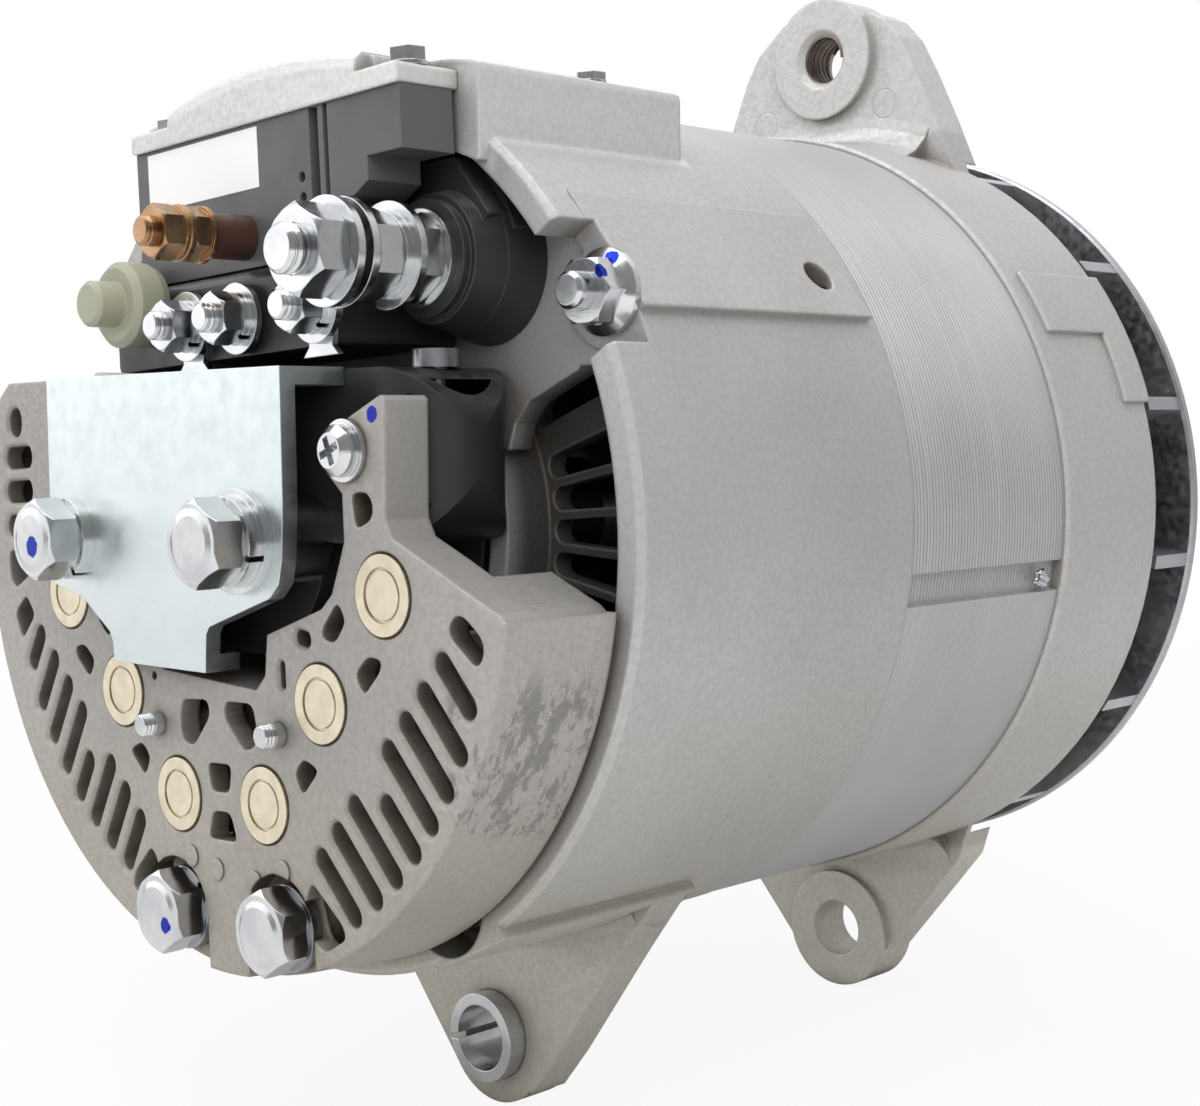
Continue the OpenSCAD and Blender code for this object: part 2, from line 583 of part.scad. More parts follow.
// brush gear
module both2d() {
  children();
  mirror([1, 0]) children();
}
module brush_shell(inset) {
  intersection() {
    translate([0, 0, -1 + inset]) linear_extrude(28.7 - 2 * inset) {
      both2d() translate([34.7, -175.3]) circle(12 - inset);
      translate([-34.7, -187.3 + inset]) square([69.4, 24 - 2 * inset]);
    }
    along(-190, -160) {
      both2d() for (z = [brush_round - 1 + inset, 27.7 - brush_round])
          translate([46.7 - brush_round, z]) circle(brush_round);
      translate([brush_round - 46.7, inset - 1]) square([93.4 - 2 * brush_round, 28.7 - inset]);
      translate([-46.7, brush_round - 1 + inset]) square([93.4, 28.7 - inset - 2 * brush_round]);
    }
  }
  bar(21 - inset, -187.3 + inset, -163.3 - inset);
}
module brush_cover() color(black) difference() {
  brush_shell(0);
  brush_shell(2);
  bar(19, -180, -160);
  translate([-30, -170, 1]) cube([60, 10, 24.7]);
  clocked() at(cover_screw_at) bar(2.2, -190, -179.5);
  translate([36, -175.3, 24]) cylinder(r = 2, h = 5);
  for (p = [[41, 22.4], [40.8, 17.8], [42.6, 5.4]]) at(p) bar(0.9, -188, -183);
}
module brush_cover_screw() color(steel) {
  translate([36, -175.3, 27.7]) cylinder(r = 4, h = 3.1);
  translate([36, -175.3, 22]) cylinder(r = 2, h = 5.8);
}
module brush_holder() color([0.2, 0.13, 0.09]) difference() {
  translate([-9, -185.2, 12.9]) cube([18, 18.2, 12.8]);
  bar(ring_r + 1, -186, -166);
  for (y = brush_y) translate([-4.55, y - 2.55, 11]) cube([9.1, 5.1, 13.7]);
}
module brush(y) color([0.16, 0.16, 0.17]) difference() {
  translate([-4.5, y - 2.5, 10]) cube([9, 5, 9.2]);
  bar(ring_r + 0.2, y - 4, y + 4);
}
module spring(y) color(steel) translate([0, y, 0]) {
  for (k = [0 : 3]) translate([0, 0, 19.5 + k * 1.633]) rotate_extrude() translate([1.7, 0]) circle(0.3);
  translate([1.7, 0, 19.5]) cylinder(r = 0.25, h = 4.9);
}
module brush_inner() brush(brush_y[0]);
module brush_outer() brush(brush_y[1]);
module spring_inner() spring(brush_y[0]);
module spring_outer() spring(brush_y[1]);

// terminals
module terminal_block() color(black) clocked() difference() {
  union() {
    along(shelf_back, deck) polygon(soft([[-36, 30.5], [29, 30.5], [29, 43.4], [-36, 43.4]], 1));
    translate([-34, -186.2, 42.6]) rotate([0, 90, 0]) cylinder(r = 2.8, h = 58);
    along(-168.8, deck) intersection() {
      circle(73.5);
      polygon([[-36, 40], [29, 40], [45, 44], [51, 48], [46, 58.5], [44, 64], [-31, 68]]);
    }
    at(battery_at) {
      bar(9.6, -177.7, -175);
      taper(10.6, 12.2, -176.1, -170);
      taper(12.2, 14, -170.2, deck);
    }
    along(-173.5, deck) polygon([[29.5, 60], [42, 60], [49.8, 50], [38, 42], [29.5, 44]]);
  }
  at(battery_at) bar(4, -180, -165);
  for (x = stud_x) at([x, stud_z]) bar(2.5, shelf_back - 1, -176);
  at([-25.2, 41.9]) bar(2.5, shelf_back - 1, -180);
}
module battery_stud() color(zinc) clocked() at(battery_at) {
  taper(3.3, 4, battery_end, battery_end + 0.7);
  bar(4, -203.9, -165);
  bar(3.45, battery_end + 0.5, -203.5);
  thread(4, battery_end + 0.6, -203.8, 1.05);
}
module battery_nuts() color(zinc) clocked() at(battery_at) difference() {
  union() {
    nut(13, -204.2, -198.2);
    nut(13, -193.8, -187.3);
    nut(13, -184.3, -179);
  }
  bar(4, -206, -176);
}
module battery_washers() color(zinc) clocked() at(battery_at) {
  tube(8.7, 4, -198.2, -196.8);
  tube(8.7, 4, -195.3, -193.8);
  rotate([0, 110, 0]) lock_washer(7, 4, -187.3, -185.8);
  tube(8.7, 4, -185.8, -184.3);
  tube(8, 4, -179, -177.7);
}
module terminal_studs() color(zinc) clocked() for (x = stud_x) at([x, stud_z]) {
  taper(2, 2.5, -199.2, -198.8);
  bar(2.5, -197, -176);
  bar(2.1, -198.9, -196.5);
  thread(2.5, -198.9, -196.9, 0.8);
}
module terminal_nuts() color(zinc) clocked() for (x = stud_x) at([x, stud_z]) difference() {
  nut(8, -196.9, -192.9);
  bar(2.5, -198, -190);
}
module terminal_washers() color(zinc) clocked() for (x = stud_x) at([x, stud_z]) {
  rotate([0, 50, 0]) lock_washer(4.5, 2.5, -192.9, -191.7);
  tube(6.1, 2.5, -191.7, -190.5);
}
module terminal_straps() color(zinc) clocked() for (x = [stud_x[0], stud_x[2]]) at([x, stud_z]) difference() {
  union() {
    bar(5, -190.5, shelf_back);
    along(-190.5, shelf_back) polygon([[-3.5, -3], [3.5, -3], [3, -6.4],
        [4.6, -8.1], [-4.6, -8.1], [-3, -6.4]]);
  }
  bar(2.5, -191, -189);
}
module terminal_cap() color([0.76, 0.76, 0.62]) clocked() at([-25.2, 41.9]) {
  turned() polygon([[0, -202.1], [3.4, -202.1], [4.1, -201.4],
      [4.1, -196.6], [6.6, -196.6], [7.7, -195.5], [7.7, -191], [7, shelf_back], [0, shelf_back]]);
  bar(2.4, shelf_back - 1, shelf_back + 1.9);
}

// regulator
module regulator_plan() polygon([[-29.8, 43.5], [28.8, 43.5], [28.8, 54], [33, 54],
  [36.8, 56], [36.8, 59.8], [45.4, 59.8], [45.4, cap_low], [-29.8, cap_low]]);
module regulator_body() color(black) clocked() difference() {
  union() {
    along(regulator_back, -176.3) regulator_plan();
    along(-176.4, -168.9) intersection() {
      regulator_plan();
      circle(70.5);
      translate([-40, 40]) square([63, 40]);
    }
  }
  along(regulator_back - 1, regulator_back + 2.2) translate([22, 40]) square([2.4, cap_low - 40]);
  along(regulator_back - 1, regulator_back + 2.2) translate([25.7, 40]) square([1.2, cap_low - 40]);
  at([19.5, 58.9]) bar(0.9, regulator_back - 1, regulator_back + 3);
  at([19.6, 55.5]) bar(0.9, regulator_back - 1, regulator_back + 3);
  at([10.4, 47.4]) bar(0.9, regulator_back - 1, regulator_back + 3);
  at([2.7, 50.9]) bar(2.5, regulator_back - 1, -180);
  along(-190, -186.3) translate([-40, 30]) square([70, 15.6]);
  translate([-36, -186.2, 42.6]) rotate([0, 90, 0]) cylinder(r = 3, h = 62);
}
module regulator_cap() color([0.72, 0.72, 0.71]) clocked() {
  along(-188, -175.4) polygon(soft([[-30.2, cap_low], [45.9, cap_low],
      [45.9, cap_top], [-30.2, cap_top]], 0.7));
  intersection() {
    translate([8.7, 0, cap_top + arch_rise - arch_r]) turned() polygon([[0, -188], [arch_r - 2.8, -188],
      [arch_r - 1.1, -187.5], [arch_r, -186.2], [arch_r, -178], [0, -178]]);
    translate([-18.4, -189, cap_top - 1]) cube([53.6, 12, arch_rise + 2]);
  }
  along(-185, -178) polygon([[33, cap_top - 0.5], [33, cap_top + 3.4],
      [36.6, cap_top + 2.9], [37.4, cap_top - 0.5]]);
}
module hex_up(af, h) {
  rotate(20) cylinder(d = af / cos(30), h = h, $fn = 6);
  cylinder(r = af * 0.56, h = 0.8);
}
module regulator_screws() color(steel) {
  translate([37, -139, 77.5]) hex_up(5, 2.2);
  clocked() cap_screws();
}
module cap_screws() {
  translate([42.2, -182.5, cap_top]) {
    cylinder(r = 3.5, h = 0.7);
    hex_up(5.6, 3);
  }
  translate([-24.5, -182.5, cap_top]) hex_up(5.6, 2.6);
}
module regulator_terminal() color(brass) clocked() at([2.7, 50.9]) {
  taper(2, 2.5, -208.4, -208);
  bar(2.5, -206.8, -180);
  bar(2.1, -208.2, -206);
  thread(2.5, -208.2, -206.7, 0.7);
}
module regulator_nuts() color(brass) clocked() at([2.7, 50.9]) difference() {
  union() {
    nut(8.2, -206.2, -202);
    bar(4.6, -202, -201.2);
    nut(8.2, -200.2, -196.8);
    bar(4.8, -201.2, -200.2);
    bar(4.8, -196.8, -196);
  }
  bar(2.5, -210, -190);
}
module terminal_sleeve() color([0.14, 0.1, 0.09]) clocked() at([2.7, 50.9])
    tube(3.9, 2.5, -196, regulator_back);

// bearings
module race_outer(ri, ro, rp, rb, s) difference() {
  tube(ro, ri, s[0], s[1]);
  translate([0, (s[0] + s[1]) / 2, 0]) turned() translate([rp, 0]) circle(rb + 0.05);
}
module ball_set(n, rp, rb, s, half) translate([0, (s[0] + s[1]) / 2, 0]) {
  for (k = [0 : n - 1]) around(360 / n * k + 5, rp) sphere(rb);
  tube(rp + half, rp - half, -half, half);
}
module front_bearing_outer() color(steel) race_outer(24.6, 31, 21.75, 5.15, front_bearing);
module front_bearing_inner() color(steel) race_outer(12.5, 18.9, 21.75, 5.15, front_bearing);
module front_bearing_balls() color(zinc) ball_set(9, 21.75, 5.1, front_bearing, 1.4);
module rear_bearing_outer() color(steel) race_outer(16.4, 20, 14.25, 3.55, rear_bearing);
module rear_bearing_inner() color(steel) race_outer(8.5, 12.1, 14.25, 3.55, rear_bearing);
module rear_bearing_balls() color(zinc) ball_set(9, 14.25, 3.5, rear_bearing, 1.1);
module bearing_retainer() color(steel) difference() {
  union() {
    bar(39.5, -42, -39);
    bar(30.9, -39, front_bearing[0]);
  }
  bar(21, -43, -38);
  bar(26, -39, -35);
  for (k = [0 : 3]) around(90 * k + 8, 35.3) bar(2.5, -43, -38);
}
module retainer_screws() color(zinc) for (k = [0 : 3]) around(90 * k + 8, 35.3) {
  bar(2.5, -42, -27);
  bar(4, -44.4, -42);
}

// rotor
module shaft() color(steel) {
  turned() polygon([[0, -184.6], [8, -184.6], [8.5, -184.1], [8.5, rear_bearing[1]],
    [12, rear_bearing[1]], [12, rotor_back], [14, rotor_back], [14, rotor_front], [12.5, rotor_front],
    [12.5, front_bearing[1]], [hub_r, front_bearing[1]], [hub_r, 0], [seat_r, 0], [seat_r, seat_len - 0.6],
    [seat_r - 0.6, seat_len], [thread_r - 0.9, seat_len], [thread_r - 0.9, shaft_end - 1.2],
    [thread_r - 2, shaft_end], [0, shaft_end]]);
  thread(thread_r, seat_len + 3, shaft_end - 2, 1.5);
}
module pole(back, turn, dir) intersection() {
  turned() polygon([[14, 0], [40, 0], [rotor_r - 1, 0], [rotor_r, 1],
      [rotor_r, 56], [54, 57], [46, 12], [24, 12], [24, 28], [14, 28]]);
  union() {
    bar(44, 0, 30);
    for (k = [0 : claws - 1]) around(360 / claws * k + turn, 0) rotate([0, 90, 0]) linear_extrude(60)
      polygon([[-14, -1], [14, -1], [14, 12], [5.5, 57], [-5.5, 57], [-14, 12]]);
  }
}
module rear_pole() color(steel) translate([0, rotor_back, 0]) pole(0, 0, 1);
module front_pole() color(steel) translate([0, rotor_front, 0]) mirror([0, 1, 0]) pole(0, 180 / claws, 1);
module field_coil() color(copper) turned() polygon([[24, rotor_back + 12.5],
    [43, rotor_back + 12.5], [45, rotor_back + 20],
  [45, rotor_front - 20], [43, rotor_front - 12.5], [24, rotor_front - 12.5]]);
module slip_rings() color(copper) {
  tube(ring_r, 8.5, slip_back, (slip_back + slip_front) / 2 - slip_gap / 2);
  tube(ring_r, 8.5, (slip_back + slip_front) / 2 + slip_gap / 2, slip_front);
}
module slip_sleeve() color(black) {
  tube(10.5, 8.5, (slip_back + slip_front) / 2 - slip_gap / 2, (slip_back + slip_front) / 2 + slip_gap / 2);
  tube(10.5, 8.5, slip_front, rear_bearing[0]);
}
module fan() color([0.7, 0.71, 0.72]) difference() {
  union() {
    turned() polygon([[hub_r + 0.03, -5], [26, -5], [30, -fan_t],
        [fan_r - 0.5, -fan_t], [fan_r, -fan_t + 0.5],
      [fan_r, -0.5], [fan_r - 0.5, 0], [hub_r + 0.03, 0]]);
    for (k = [0 : blades - 1]) rotate([0, -15.4 - 360 / blades * k, 0]) translate([44, blade_back, -1.4])
      cube([fan_r - 44.6, -blade_back - 1, 2.8]);
  }
}
module fan_spacer() color(steel) tube(16, hub_r + 0.03, front_bearing[1], -5);

// hinge bushing
module foot_bushing() color(zinc) at([0, -lug_reach]) difference() {
  tube(bushing_r, pivot_r, bushing_back, rear_foot_front);
  rotate([0, 172, 0]) translate([0, bushing_back - 1, -0.6]) cube([12, 20, 1.2]);
}

rear_housing();
front_housing();
stator_core();
stator_windings();
tie_studs();
tie_nuts();
heat_sink_cover();
negative_diodes();
positive_plate();
positive_diodes();
plate_screws();
plate_nuts();
cover_bolts();
cover_lock_washers();
cover_screw();
ground_bracket();
ground_standoffs();
ground_bolts();
ground_washers();
brush_cover();
brush_cover_screw();
brush_holder();
brush_inner();
brush_outer();
spring_inner();
spring_outer();
terminal_block();
battery_stud();
battery_nuts();
battery_washers();
terminal_studs();
terminal_nuts();
terminal_washers();
terminal_straps();
terminal_cap();
regulator_body();
regulator_cap();
regulator_screws();
regulator_terminal();
regulator_nuts();
terminal_sleeve();
front_bearing_outer();
front_bearing_inner();
front_bearing_balls();
rear_bearing_outer();
rear_bearing_inner();
rear_bearing_balls();
bearing_retainer();
retainer_screws();
shaft();
rear_pole();
front_pole();
field_coil();
slip_rings();
slip_sleeve();
fan();
fan_spacer();
foot_bushing();
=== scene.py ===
import math

import bmesh
import bpy
from mathutils import Matrix, Vector


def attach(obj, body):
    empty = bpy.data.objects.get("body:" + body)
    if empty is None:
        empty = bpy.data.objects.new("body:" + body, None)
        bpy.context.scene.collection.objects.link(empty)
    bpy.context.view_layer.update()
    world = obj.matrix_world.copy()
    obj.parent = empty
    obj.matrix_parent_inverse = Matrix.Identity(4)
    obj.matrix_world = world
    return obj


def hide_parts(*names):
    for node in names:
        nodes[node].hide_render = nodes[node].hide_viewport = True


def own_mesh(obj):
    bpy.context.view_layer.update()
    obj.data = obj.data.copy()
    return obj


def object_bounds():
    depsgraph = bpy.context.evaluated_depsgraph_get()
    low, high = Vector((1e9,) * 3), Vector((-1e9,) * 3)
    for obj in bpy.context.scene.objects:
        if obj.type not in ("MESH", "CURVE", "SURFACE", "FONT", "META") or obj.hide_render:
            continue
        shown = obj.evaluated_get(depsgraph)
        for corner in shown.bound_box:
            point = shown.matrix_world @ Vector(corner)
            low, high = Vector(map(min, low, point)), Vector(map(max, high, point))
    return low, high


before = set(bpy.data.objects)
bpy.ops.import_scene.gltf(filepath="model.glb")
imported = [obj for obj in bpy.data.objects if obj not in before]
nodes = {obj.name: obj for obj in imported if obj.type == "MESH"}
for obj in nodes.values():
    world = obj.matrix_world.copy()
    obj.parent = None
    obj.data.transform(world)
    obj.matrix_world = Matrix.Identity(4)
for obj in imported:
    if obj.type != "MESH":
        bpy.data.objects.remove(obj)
cadLow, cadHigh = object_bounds()
mm = 0.001
print("stage: frame loaded,", len(nodes), "nodes")


def newObject(name, data):
    made = bpy.data.objects.new(name, data)
    bpy.context.scene.collection.objects.link(made)
    return made


# the camera stands where the photograph was taken, in mm and degrees, and clips in metres
cameraSet = {"place": (278.43, -385.09, 16.46), "azimuth": 44.965, "elevation": 3.669, "roll": -0.7985,
             "lens": 58.03, "shift": (0.0168, 0.0043), "clip": (0.01, 50)}


def makeCamera(s):
    azimuth, elevation, roll = (math.radians(s[key]) for key in ("azimuth", "elevation", "roll"))
    level = math.cos(elevation)
    back = Vector((math.sin(azimuth) * level, -math.cos(azimuth) * level, math.sin(elevation)))
    right = (-back).cross(Vector((0, 0, 1))).normalized()
    up = right.cross(-back)
    turnedRight = math.cos(roll) * right + math.sin(roll) * up
    turnedUp = -math.sin(roll) * right + math.cos(roll) * up
    eye = newObject("camera", bpy.data.cameras.new("camera"))
    eye.data.lens = s["lens"]
    eye.data.shift_x, eye.data.shift_y = s["shift"]
    eye.data.clip_start, eye.data.clip_end = s["clip"]
    eye.matrix_world = Matrix((turnedRight, turnedUp, back)).transposed().to_4x4()
    eye.location = Vector(s["place"]) * mm
    bpy.context.scene.camera = eye
    return back


viewBack = makeCamera(cameraSet)
bpy.context.scene.view_settings.view_transform = "Standard"


# small helpers for node trees: a value or a socket goes into each named input
def feed(tree, value, socket):
    if isinstance(value, bpy.types.NodeSocket):
        tree.links.new(value, socket)
    else:
        socket.default_value = value


def newNode(tree, kind, inputs=None, **settings):
    made = tree.nodes.new(kind)
    for key, value in settings.items():
        setattr(made, key, value)
    for key, value in (inputs or {}).items():
        feed(tree, value, made.inputs[key])
    return made


def add(tree, kind, inputs=None, **settings):
    return newNode(tree, "ShaderNode" + kind, inputs, **settings)


def emptyTree(owner):
    owner.use_nodes = True
    owner.node_tree.nodes.clear()
    return owner.node_tree


def colour(rgb):
    return (*rgb, 1)


def position(tree, scale=(1, 1, 1)):
    place = add(tree, "TexCoord").outputs["Object"]
    return add(tree, "Mapping", {"Vector": place, "Scale": scale}).outputs[0]


def axesOf(tree, vector):
    return add(tree, "SeparateXYZ", {0: vector}).outputs


def noise(tree, place, scale, detail=3, roughness=0.5):
    inputs = {"Vector": place, "Scale": scale, "Detail": detail, "Roughness": roughness}
    return add(tree, "TexNoise", inputs).outputs[0]


def maths(tree, operation, *values):
    return add(tree, "Math", dict(enumerate(values)), operation=operation).outputs[0]


def times(tree, first, *others):
    for value in others:
        first = maths(tree, "MULTIPLY", first, value)
    return first


def vectorMaths(tree, operation, *vectors):
    return add(tree, "VectorMath", dict(enumerate(vectors)), operation=operation).outputs["Value"]


# a value eased from one range into another, which is 0 to 1 where none is given
def spread(tree, value, low, high, toLow=0.0, toHigh=1.0):
    inputs = {"Value": value, "From Min": low, "From Max": high, "To Min": toLow, "To Max": toHigh}
    return add(tree, "MapRange", inputs, interpolation_type="SMOOTHSTEP").outputs[0]


# a noise eased over the range that most of it falls in
noiseRange = (0.3, 0.7)


def clouded(tree, place, scale, detail=3, roughness=0.5):
    return spread(tree, noise(tree, place, scale, detail, roughness), *noiseRange)


# a Mix node keeps its share at input 0, its two colours at 6 and 7, and their mixture at output 2
def blendColour(tree, share, first, second, kind="MIX"):
    made = add(tree, "Mix", data_type="RGBA", blend_type=kind)
    for at, value in ((0, share), (6, first), (7, second)):
        feed(tree, value, made.inputs[at])
    return made.outputs[2]


def relief(tree, height, depth, normal=None):
    inputs = {"Height": height, "Distance": depth * mm, "Strength": 1.0}
    if normal is not None:
        inputs["Normal"] = normal
    return add(tree, "Bump", inputs).outputs[0]


raySamples = 6


def roundedEdges(tree, radius):
    return add(tree, "Bevel", {"Radius": radius * mm}, samples=raySamples).outputs[0]


# how far an edge is worn: 0 on flats, 1 where the rounded normal leaves the face's own
edgeSet = {"flat": 0.999, "sharp": 0.9}


def edgeWear(tree, rounded):
    plain = add(tree, "NewGeometry").outputs["Normal"]
    same = vectorMaths(tree, "DOT_PRODUCT", plain, rounded)
    return spread(tree, same, edgeSet["flat"], edgeSet["sharp"])


def awayFrom(tree, centre):
    return vectorMaths(tree, "DISTANCE", position(tree), Vector(centre) * mm)


# dots of blue marking paint with a ragged rim; ragged and rim are shares of a dot's radius
paintSet = {"shade": (0.012, 0.03, 0.36), "ragged": 0.35, "rim": 0.08, "grain": 900}


def paintDots(tree, shade, dots):
    for centre, radius in dots:
        stray = radius * mm * paintSet["ragged"]
        grain = noise(tree, position(tree), paintSet["grain"], 2)
        wander = maths(tree, "MULTIPLY_ADD", grain, stray * 2, -stray)
        away = maths(tree, "ADD", awayFrom(tree, centre), wander)
        outer, inner = (radius * mm * (1 + sign * paintSet["rim"]) for sign in (1, -1))
        shade = blendColour(tree, spread(tree, away, outer, inner), shade, colour(paintSet["shade"]))
    return shade


# 1 inside a box given by two corners in mm, soft over 2 mm
boxSoft = 1


def within(tree, low, high):
    axes = axesOf(tree, position(tree))
    share = 1.0
    for axis, first, last in zip("XYZ", low, high):
        for at, soft in ((first, boxSoft), (last, -boxSoft)):
            share = times(tree, share, spread(tree, axes[axis], (at - soft) * mm, (at + soft) * mm))
    return share


# a shallow ring pressed by an ejector pin, about a point in mm
ringSet = {"width": 0.35, "depth": 0.1}


def ringMark(tree, centre, radius):
    off = maths(tree, "ABSOLUTE", maths(tree, "SUBTRACT", awayFrom(tree, centre), radius * mm))
    return spread(tree, off, 0, ringSet["width"] * mm)


def newFinish(name, **values):
    finish = bpy.data.materials.new(name)
    tree = emptyTree(finish)
    inputs = {key.replace("_", " "): value for key, value in values.items()}
    shader = add(tree, "BsdfPrincipled", inputs)
    add(tree, "OutputMaterial", {0: shader.outputs[0]})
    return finish, tree, shader


# blasted cast aluminium: two warm greys in clouds, a fine grit, brighter rubbed edges, and dirt with painted
# shade in the corners
castSet = {"metallic": 0.6, "roughness": (0.5, 0.64), "clouds": 14, "paintedLightShade": (0.7, 0.7, 0.69),
           "grit": 900, "gritShare": 0.16, "gritShade": 0.62, "edge": 0.9, "edgeShare": 0.25,
           "edgeShade": 1.45, "wallOilAndShade": (0.045, 0.042, 0.04), "wallOilAndShadeShare": 0.8, "wallOilAndShadeRim": 0.8,
           "lowTint": (0.98, 0.95, 0.86), "lowTintFrom": -15, "lowTintTo": -85,
           "cornerReach": 7, "cornerDirtAndShade": (0.36, 0.29, 0.23), "swells": 260, "swellDepth": 0.09,
           "pits": 1500, "pitDepth": 0.075}


# near-black oil and painted shade on the inner walls, within a radius and forward of a depth, in mm
def oilAndShadeWalls(tree, radius, rear, front):
    away = vectorMaths(tree, "LENGTH", position(tree, (1, 0, 1)))
    deep = spread(tree, axesOf(tree, position(tree))["Y"], rear * mm, front * mm)
    return times(tree, spread(tree, away, (radius + castSet["wallOilAndShadeRim"]) * mm, radius * mm), deep)


def castFinish(name, light, dark, grit=0.9, dots=(), stains=None, rings=(), paintedLightAreas=(), inside=None,
               cornerDirtAndShadeShare=0.75, hollow=(0.8, 0.3)):
    s = castSet
    finish, tree, shader = newFinish(name, Metallic=s["metallic"])
    place = position(tree)
    specks = clouded(tree, place, s["grit"], 2, 0.6)
    shade = blendColour(tree, clouded(tree, place, s["clouds"], 3, 0.55), colour(dark), colour(light))
    # given boxes lightened towards a pale grey: painted light
    for low, high, share in paintedLightAreas:
        paintedLit = times(tree, within(tree, low, high), share)
        shade = blendColour(tree, paintedLit, shade, colour(s["paintedLightShade"]))
    gritShade = colour([v * s["gritShade"] for v in light])
    shade = blendColour(tree, times(tree, specks, s["gritShare"]), shade, gritShade)
    # the inner walls go near black: painted shade, with some oil
    if inside:
        oilAndShade = times(tree, oilAndShadeWalls(tree, *inside), s["wallOilAndShadeShare"])
        shade = blendColour(tree, oilAndShade, shade, colour(s["wallOilAndShade"]))
    rounded = roundedEdges(tree, s["edge"])
    worn = times(tree, edgeWear(tree, rounded), s["edgeShare"])
    shade = blendColour(tree, worn, shade, colour([min(1, v * s["edgeShade"]) for v in light]))
    # warmer and slightly darker towards the bottom
    lowTinted = spread(tree, axesOf(tree, place)["Z"], s["lowTintFrom"] * mm, s["lowTintTo"] * mm)
    shade = blendColour(tree, lowTinted, shade, colour(s["lowTint"]), "MULTIPLY")
    # corners darken by how hidden they are: painted shade, with some dirt
    reach = {"Distance": s["cornerReach"] * mm}
    corners = add(tree, "AmbientOcclusion", reach, samples=raySamples).outputs["AO"]
    cornerDirtAndShade = colour([v * share for v, share in zip(dark, s["cornerDirtAndShade"])])
    shade = blendColour(tree, times(tree, spread(tree, corners, *hollow), cornerDirtAndShadeShare), shade, cornerDirtAndShade)
    if stains:
        shade = stains(tree, shade)
    feed(tree, paintDots(tree, shade, dots), shader.inputs["Base Color"])
    normal = relief(tree, noise(tree, place, s["swells"], 2), s["swellDepth"] * grit, rounded)
    for centre, radius in rings:
        normal = relief(tree, ringMark(tree, centre, radius), ringSet["depth"], normal)
    pits = noise(tree, place, s["pits"], 2, 0.65)
    feed(tree, relief(tree, pits, s["pitDepth"] * grit, normal), shader.inputs["Normal"])
    feed(tree, spread(tree, specks, 0, 1, *s["roughness"]), shader.inputs["Roughness"])
    return finish


# dark blotches rubbed thin, on the cover's right wall only; reaches are in mm
stainSet = {"shade": (0.1, 0.1, 0.105), "share": 0.52, "side": (60.5, 62.5), "top": (-16, -24),
            "foot": (-66, -56), "stretch": (1, 1.6, 0.8), "scale": 120, "torn": (0.5, 0.56)}


def coverStains(tree, shade):
    s = stainSet
    axes = axesOf(tree, position(tree))
    reaches = [spread(tree, axes[axis], low * mm, high * mm)
               for axis, (low, high) in (("X", s["side"]), ("Z", s["top"]), ("Z", s["foot"]))]
    torn = spread(tree, noise(tree, position(tree, s["stretch"]), s["scale"], 6, 0.78), *s["torn"])
    return blendColour(tree, times(tree, *reaches, torn, s["share"]), shade, colour(s["shade"]))


# stacked laminations: a dark line between sheets, fainter under the groove, with a few paler sheets; the
# tones are painted light, darker low down and lighter on the upper band, each a reach of height in mm and
# what it multiplies the shade by
laminationSet = {"light": (0.53, 0.53, 0.54), "dark": (0.46, 0.46, 0.47), "line": (0.13, 0.13, 0.135),
                 "lineShare": 0.42, "lineDepth": 0.12, "lineScale": 320, "stray": 0.25, "crisp": 3,
                 "groove": (-15, -12), "below": 0.35, "clouds": 22, "edge": 0.2,
                 "pale": (0.62, 0.62, 0.64), "paleShare": 0.3, "paleRange": (0.5, 0.72),
                 "sheets": 800, "alongSheets": 0.004, "metallic": 0.4, "roughness": 0.55,
                 "paintedToneLevels": [((-40, -8), (0.78, 0.84)), ((5, 40), (1, 1.3)), ((50, 74), (1, 0.8))]}


def laminationFinish(s):
    finish, tree, shader = newFinish("laminations", Metallic=s["metallic"], Roughness=s["roughness"])
    place = position(tree)
    height = axesOf(tree, place)["Z"]
    waves = {"Vector": place, "Scale": s["lineScale"], "Distortion": s["stray"], "Detail": 1,
             "Detail Scale": 1}
    wave = add(tree, "TexWave", waves, bands_direction="Y", wave_profile="SIN").outputs["Fac"]
    groove = (v * mm for v in s["groove"])
    upper = spread(tree, height, *groove, s["below"], 1.0)
    lines = times(tree, maths(tree, "POWER", wave, s["crisp"]), upper)
    shade = blendColour(tree, clouded(tree, place, s["clouds"]), colour(s["dark"]), colour(s["light"]))
    shade = blendColour(tree, times(tree, lines, s["lineShare"]), shade, colour(s["line"]))
    layered = position(tree, (s["alongSheets"], 1, s["alongSheets"]))
    sheets = spread(tree, noise(tree, layered, s["sheets"], 2, 0.7), *s["paleRange"])
    shade = blendColour(tree, times(tree, sheets, s["paleShare"]), shade, colour(s["pale"]))
    # painted light: the shade is multiplied by height, darker low down and lighter on the upper band
    paintedTone = times(tree, *(spread(tree, height, low * mm, high * mm, *levels)
                         for (low, high), levels in s["paintedToneLevels"]))
    grey = add(tree, "CombineColor", {0: paintedTone, 1: paintedTone, 2: paintedTone}).outputs[0]
    feed(tree, blendColour(tree, 1.0, shade, grey, "MULTIPLY"), shader.inputs["Base Color"])
    sunk = times(tree, lines, -1.0)
    normal = relief(tree, sunk, s["lineDepth"], roundedEdges(tree, s["edge"]))
    feed(tree, normal, shader.inputs["Normal"])
    return finish


# plated or bare metal with a soft mottling and small scratches
metalSet = {"edge": 0.25, "duller": (0.75, 1.35), "dullRange": (0.2, 0.8), "finer": 4, "scratches": 700,
            "stretch": (1, 1, 3)}


